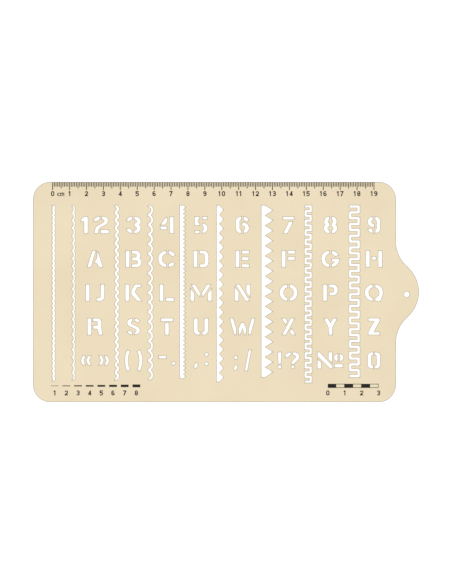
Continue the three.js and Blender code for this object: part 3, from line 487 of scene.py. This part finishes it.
@dataclass(frozen=True)
class FlatSolid:
    """A flat CAD node: its level faces and the outlines of its upper one."""

    node: str
    merge: float = 1e-3 * MM

    def levels(self) -> tuple[float, float]:
        """Heights of the lower and the upper face."""
        low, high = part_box(self.node)
        return low.z, high.z

    def upper_edges(self) -> tuple[np.ndarray, np.ndarray]:
        """Merges the loose triangles and finds the rim of the upper face.

        A rim edge is one that no other triangle of the upper face runs through the other way.

        Returns:
            The merged points in the plane, and the rim's directed edges with the face on their left.
        """
        mesh = frame["nodes"][self.node].data
        places = np.empty(len(mesh.vertices) * 3, np.float32)
        mesh.vertices.foreach_get("co", places)
        mesh.calc_loop_triangles()
        corners = np.empty(len(mesh.loop_triangles) * 3, np.int32)
        mesh.loop_triangles.foreach_get("vertices", corners)
        grid = np.round(places.reshape(-1, 3).astype(float) / self.merge).astype(np.int64)
        merged, same = np.unique(grid, axis=0, return_inverse=True)
        faces = same.reshape(-1)[corners].reshape(-1, 3)
        upper = faces[np.all(merged[faces, 2] == merged[:, 2].max(), axis=1)]
        edges = np.concatenate([upper[:, [0, 1]], upper[:, [1, 2]], upper[:, [2, 0]]])
        forth = edges[:, 0] * len(merged) + edges[:, 1]
        back = edges[:, 1] * len(merged) + edges[:, 0]
        return merged[:, :2] * self.merge, edges[~np.isin(forth, back)]

    def outlines(self) -> list[np.ndarray]:
        """Puts the rim's edges in order.

        Every point knows its successor. Doubling the stride again and again gives each point the
        lowest number on its loop, which names the loop, and its distance to that head point.

        Returns:
            One array of points for each closed outline, with the material on its left.
        """
        points, edges = self.upper_edges()
        own = np.unique(edges[:, 0])
        edges = np.searchsorted(own, edges)
        successor = np.empty(len(own), np.int64)
        successor[edges[:, 0]] = edges[:, 1]
        strides = range(int(np.ceil(np.log2(len(own)))) + 1)
        loop, stride = np.arange(len(own)), successor
        for _ in strides:
            loop = np.minimum(loop, loop[stride])
            stride = stride[stride]
        head = loop == np.arange(len(own))
        stride = np.where(head, np.arange(len(own)), successor)
        distance = np.where(head, 0, 1)
        for _ in strides:
            distance = distance + distance[stride]
            stride = stride[stride]
        distance[head] = len(own)
        order = np.lexsort((-distance, loop))
        starts = np.flatnonzero(np.diff(loop[order])) + 1
        return np.split(points[own[order]], starts)


@dataclass(frozen=True)
class RimProfile:
    """Section of a rim, from the upper face over a rounded edge and down the wall to the underside.

    The edge band is the stretch of the upper face beside the edge that takes the colour of the cut,
    which is partly painted edge shade, and fades down the wall to the wall share.
    """

    band: float
    fade: float
    round_radius: float
    foot_radius: float
    wall_cut_and_shade_share: float = 0.45
    round_steps: int = 3

    def section(self, thickness: float) -> tuple[np.ndarray, np.ndarray, np.ndarray]:
        """Works out the section as a quarter circle between a level run and the wall.

        At angle a the round lies radius times one minus sine a from the wall and radius times one
        minus cosine a below the face.

        Args:
            thickness: height of the wall with its rounds.

        Returns:
            For each point: its distance from the wall, its depth below the upper face, and the share
            of the cut's colour there, which is partly painted edge shade.
        """
        angle = np.linspace(0, np.pi / 2, self.round_steps + 1)
        inset = np.concatenate([
            [self.band, self.band - self.fade],
            self.round_radius * (1 - np.sin(angle)),
            [0.0, self.foot_radius, self.band],
        ])
        depth = np.concatenate([
            [0.0, 0.0],
            self.round_radius * (1 - np.cos(angle)),
            [thickness - self.foot_radius, thickness, thickness],
        ])
        upper = np.ones(len(angle) + 1)
        # Cut colour, partly painted edge shade: full from the band's inner line over the round, the
        # wall share on the wall.
        share = np.concatenate([[0.0], upper, [self.wall_cut_and_shade_share, self.wall_cut_and_shade_share, 0.0]])
        return inset, depth, share


@dataclass(frozen=True)
class FlatPiece:
    """A flat piece with fair outlines: its rims are a section carried along every outline."""

    # Per-point share of the cut's darker colour, which is partly painted edge shade.
    CUT_AND_SHADE_ATTRIBUTE = "cut_edge_and_painted_shade"

    name: str
    solid: FlatSolid
    rim: RimProfile
    fairing: Fairing
    slot: str
    opening_cut_and_shade_share: float = 1.0
    longest_mitre: float = 2.5
    room_share: float = 0.8
    room_spacing: float = 0.1 * MM
    least_scale: float = 0.02
    least_sum: float = 1e-6
    flat_tolerance: float = 1e-6 * MM

    def mitres(self, points: np.ndarray) -> np.ndarray:
        """How far each point moves for a unit step of the outline into the material.

        The step is the sum of both runs' left normals over one plus their product, kept under the
        longest mitre.

        Args:
            points: one outline.

        Returns:
            A vector for each point.
        """
        run = np.roll(points, -1, axis=0) - points
        run /= np.linalg.norm(run, axis=1, keepdims=True)
        ahead = np.column_stack([-run[:, 1], run[:, 0]])
        behind = np.roll(ahead, 1, axis=0)
        both = 1 + np.sum(ahead * behind, axis=1, keepdims=True)
        mitre = (ahead + behind) / np.maximum(both, self.least_sum)
        length = np.linalg.norm(mitre, axis=1, keepdims=True)
        return mitre * np.minimum(1, self.longest_mitre / length)

    def room(self, points: np.ndarray, mitres: np.ndarray) -> np.ndarray:
        """Share of the rim's section that fits in at each point of an outline.

        A circle that touches the outline at p, with its middle along the unit normal n, and passes
        through q has the radius of the squared distance from p to q over twice n times (q - p). The
        smallest such circle is the room at p, with q on any run but the two that meet at p.

        Args:
            points: one outline.
            mitres: its mitre vectors.

        Returns:
            A share from the least scale to 1 for each point.
        """
        run = np.roll(points, -1, axis=0) - points
        steps = np.ceil(np.linalg.norm(run, axis=1) / self.room_spacing).astype(int)
        owner, share = spaced(steps)
        dense = points[owner] + share[:, None] * run[owner]
        length = np.linalg.norm(mitres, axis=1)
        away = dense[None] - points[:, None]
        ahead = np.einsum("pqk,pk->pq", away, mitres / length[:, None])
        apart = (owner[None] - np.arange(len(points))[:, None]) % len(points)
        faced = (ahead > self.flat_tolerance) & (apart != 0) & (apart != len(points) - 1)
        radius = np.full(ahead.shape, np.inf)
        np.divide(np.sum(away**2, axis=-1), 2 * ahead, out=radius, where=faced)
        scale = self.room_share * radius.min(axis=1) / (self.rim.band * length)
        return np.clip(scale, self.least_scale, 1)

    def shades(self, points: np.ndarray) -> np.ndarray:
        """Share of the cut's colour, partly painted edge shade, that shows along an outline.

        An outer outline runs anticlockwise, so twice its signed area, the sum of the cross products of
        neighbouring points, is positive. It shows the colour in full and an opening shows its share.

        Args:
            points: one outline.

        Returns:
            The share for each point.
        """
        following = np.roll(points, -1, axis=0)
        doubled = np.sum(points[:, 0] * following[:, 1] - points[:, 1] * following[:, 0])
        return np.full(len(points), 1.0 if doubled > 0 else self.opening_cut_and_shade_share)

    def flat_faces(self, loops: list[np.ndarray], first: np.ndarray) -> np.ndarray:
        """Fills the face between the innermost lines of the rims.

        Args:
            loops: the innermost line of every rim.
            first: index of each loop's first point.

        Returns:
            Triangles that face up, as indices of those points.
        """
        places = [Vector(p) for p in np.concatenate(loops)]
        faces = [list(range(a, a + len(p))) for a, p in zip(first, loops, strict=True)]
        mode = Fill.INSIDE_WITHOUT_HOLES
        made = delaunay_2d_cdt(places, [], faces, mode, self.flat_tolerance)
        if len(made[0]) != len(places):
            LOG.warning("%s: its rims cross, %d points became %d", self.name, len(places), len(made[0]))
        origin = np.array([o[0] if o else -1 for o in made[3]])
        return origin[np.array(made[2])]

    def sides(self, first: np.ndarray, count: np.ndarray, lines: int) -> np.ndarray:
        """Faces between neighbouring lines of the rims' grid, section points by outline points.

        Args:
            first: index of each outline's first point.
            count: number of points of each outline.
            lines: number of points of the section.

        Returns:
            Four indices for each face.
        """
        here = np.arange(count.sum())
        after = here + 1
        after[first + count - 1] = first
        rows = np.arange(lines - 1)[:, None] * len(here)
        below = rows + len(here)
        quads = np.stack([rows + here, below + here, below + after, rows + after], axis=-1)
        return quads.reshape(-1, 4)

    def placed(self, mesh: bpy.types.Mesh) -> bpy.types.Object:
        """Puts the finished mesh in the place of its CAD node.

        Args:
            mesh: the finished mesh.

        Returns:
            The object, riding on the body.
        """
        piece = bpy.data.objects.new(self.name, mesh)
        bpy.context.scene.collection.objects.link(piece)
        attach(piece, BODY)
        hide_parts(self.solid.node)
        return piece

    def build(self, material: bpy.types.Material) -> bpy.types.Object:
        """Carries the section along every outline and closes the rims with the two flat faces.

        Args:
            material: the finish.

        Returns:
            The finished object.
        """
        low, high = self.solid.levels()
        inset, depth, share = self.rim.section(high - low)
        loops = [self.fairing.faired(points) for points in self.solid.outlines()]
        count = np.array([len(points) for points in loops])
        first = np.cumsum(count) - count
        line = np.concatenate(loops)
        mitres = [self.mitres(points) for points in loops]
        rooms = [self.room(p, m) for p, m in zip(loops, mitres, strict=True)]
        inward = np.concatenate(mitres) * np.concatenate(rooms)[:, None]
        grid = np.empty((len(inset), len(line), 3))
        grid[..., :2] = line + inset[:, None, None] * inward
        grid[..., 2] = (high - depth)[:, None]
        sides = self.sides(first, count, len(inset))
        top = self.flat_faces(np.split(grid[0, :, :2], first[1:]), first)
        foot = top[:, ::-1] + (len(inset) - 1) * len(line)
        faces = [*sides.tolist(), *top.tolist(), *foot.tolist()]
        mesh = bpy.data.meshes.new(self.name)
        mesh.from_pydata(grid.reshape(-1, 3).tolist(), [], faces)
        mesh.polygons.foreach_set("use_smooth", np.arange(len(faces)) < len(sides))
        # Painted edge shade, partly real cut darkening: full on the outer outline, lighter round
        # openings.
        shade = np.concatenate([self.shades(points) for points in loops])
        edge = mesh.attributes.new(self.CUT_AND_SHADE_ATTRIBUTE, "FLOAT", "POINT")
        edge.data.foreach_set("value", np.outer(share, shade).ravel().astype(np.float32))
        mesh.materials.append(material)
        mesh.update()
        LOG.info("%s: %d outlines, %d points, %d faces", self.name, len(loops), len(line), len(faces))
        return self.placed(mesh)


@dataclass
class StencilSheet:
    """The cut sheet: softened edges on the outline and lighter ones on every opening, partly painted
    shade.
    """

    node: str = "stencil_plate"
    piece: str = "stencil_sheet"
    slot: str = "sheet_plastic"
    # Share of the darker cut colour, partly painted edge shade, round the openings.
    opening_cut_and_shade_share: float = 0.75
    finish: SheetPlastic = field(default_factory=SheetPlastic)
    fairing: Fairing = field(default_factory=Fairing)
    rim: RimProfile = field(
        default_factory=lambda: RimProfile(
            band=0.22 * MM,
            fade=0.05 * MM,
            round_radius=0.1 * MM,
            foot_radius=0.05 * MM,
        )
    )

    def build(self) -> bpy.types.Object:
        """Builds and dresses the sheet.

        Returns:
            The finished sheet.
        """
        solid = FlatSolid(self.node)
        flat = FlatPiece(self.piece, solid, self.rim, self.fairing, self.slot, self.opening_cut_and_shade_share)
        return flat.build(self.finish.material())


@dataclass
class PrintedFigures:
    """The printed rule, line-width key and bar scale.

    The round figures are made again with fair outlines; ticks, strokes and bars keep their solids.
    """

    slot: str = "printed_ink"
    figures: tuple[str, ...] = ("rule_numeral", "rule_unit", "key_numeral", "scale_numeral")
    finish: PrintInk = field(default_factory=PrintInk)
    fairing: Fairing = field(
        default_factory=lambda: Fairing(largest_sag=0.045 * MM, shortest_run=0.02 * MM)
    )
    rim: RimProfile = field(
        default_factory=lambda: RimProfile(
            band=0.04 * MM,
            fade=0.01 * MM,
            round_radius=0.02 * MM,
            foot_radius=0.002 * MM,
            round_steps=2,
        )
    )

    def build(self) -> list[bpy.types.Object]:
        """Makes the figures and inks the straight prints.

        Returns:
            The new pieces and the CAD nodes that stay.
        """
        ink = self.finish.material()
        subparts = frame["record"]["subparts"]
        films = [part["node"] for part in subparts if part["material_slot"] == self.slot]
        return [self.printed(node, ink) for node in films]

    def printed(self, node: str, ink: bpy.types.Material) -> bpy.types.Object:
        """Makes a round figure again, or inks a straight print."""
        return self.figure(node, ink) if node.startswith(self.figures) else self.inked(node, ink)

    def figure(self, node: str, ink: bpy.types.Material) -> bpy.types.Object:
        """Makes one figure again with fair outlines."""
        name = f"ink_{node}"
        return FlatPiece(name, FlatSolid(node), self.rim, self.fairing, self.slot).build(ink)

    def inked(self, node: str, ink: bpy.types.Material) -> bpy.types.Object:
        """Gives a straight print its ink.

        Args:
            node: the CAD node that stays.
            ink: the finish.

        Returns:
            The node's object.
        """
        piece = frame["nodes"][node]
        piece.data.materials.clear()
        piece.data.materials.append(ink)
        LOG.info("%s: inked", node)
        return piece


@dataclass
class Studio:
    """White floor, even soft light and a camera straight above the sheet."""

    floor_half: float = 3.0
    floor_gap: float = 0.02 * MM
    view_height: float = 345.3 * MM
    lens: float = 150.0
    sensor: float = 36.0
    world_strength: float = 0.6
    lamp_size: float = 2.0
    lamp_power: float = 15.6
    lamp_places: tuple[Place, ...] = (
        (-1.5, -1.2, 2.2),
        (1.5, 1.2, 2.2),
        (-1.2, 1.5, 2.2),
        (1.2, -1.5, 2.2),
    )
    finish: StudioPaper = field(default_factory=StudioPaper)

    def floor(self) -> None:
        """Lays a level square just under the sheet."""
        half = self.floor_half
        height = CAD_BOX[0].z - self.floor_gap
        corners = [
            (-half, -half, height),
            (half, -half, height),
            (half, half, height),
            (-half, half, height),
        ]
        mesh = bpy.data.meshes.new("studio_floor")
        mesh.from_pydata(corners, [], [(0, 1, 2, 3)])
        mesh.materials.append(self.finish.material())
        floor = bpy.data.objects.new("studio_floor", mesh)
        bpy.context.scene.collection.objects.link(floor)

    def lights(self) -> None:
        """Lights the sheet evenly from the sky and from square lamps round it."""
        scene = bpy.context.scene
        scene.world = bpy.data.worlds.new("studio_sky")
        scene.world.use_nodes = True
        sky = scene.world.node_tree.nodes["Background"]
        sky.inputs["Color"].default_value = WHITE
        sky.inputs["Strength"].default_value = self.world_strength
        for number, place in enumerate(self.lamp_places):
            lamp = bpy.data.lights.new(f"studio_lamp_{number}", "AREA")
            lamp.size = self.lamp_size
            lamp.energy = self.lamp_power
            holder = bpy.data.objects.new(lamp.name, lamp)
            holder.location = place
            holder.rotation_mode = "QUATERNION"
            holder.rotation_quaternion = (-Vector(place)).to_track_quat("-Z", "Y")
            scene.collection.objects.link(holder)
        scene.view_settings.view_transform = "Standard"

    def camera(self) -> None:
        """Sets the camera above the middle of the sheet, as far away as its field of view needs."""
        data = bpy.data.cameras.new("camera")
        data.lens = self.lens
        data.sensor_width = self.sensor
        camera = bpy.data.objects.new("camera", data)
        low, high = CAD_BOX
        distance = self.view_height * self.lens / self.sensor
        camera.location = ((low.x + high.x) / 2, (low.y + high.y) / 2, high.z + distance)
        bpy.context.scene.collection.objects.link(camera)
        bpy.context.scene.camera = camera

    def build(self) -> None:
        """Builds the floor, the lights and the camera."""
        self.floor()
        self.lights()
        self.camera()


def main() -> None:
    """Builds the sheet, its print and the studio, and reports each piece."""
    logging.basicConfig(level=logging.INFO, format="%(name)s: %(message)s")
    StencilSheet().build()
    PrintedFigures().build()
    Studio().build()


if __name__ == "__main__":
    main()
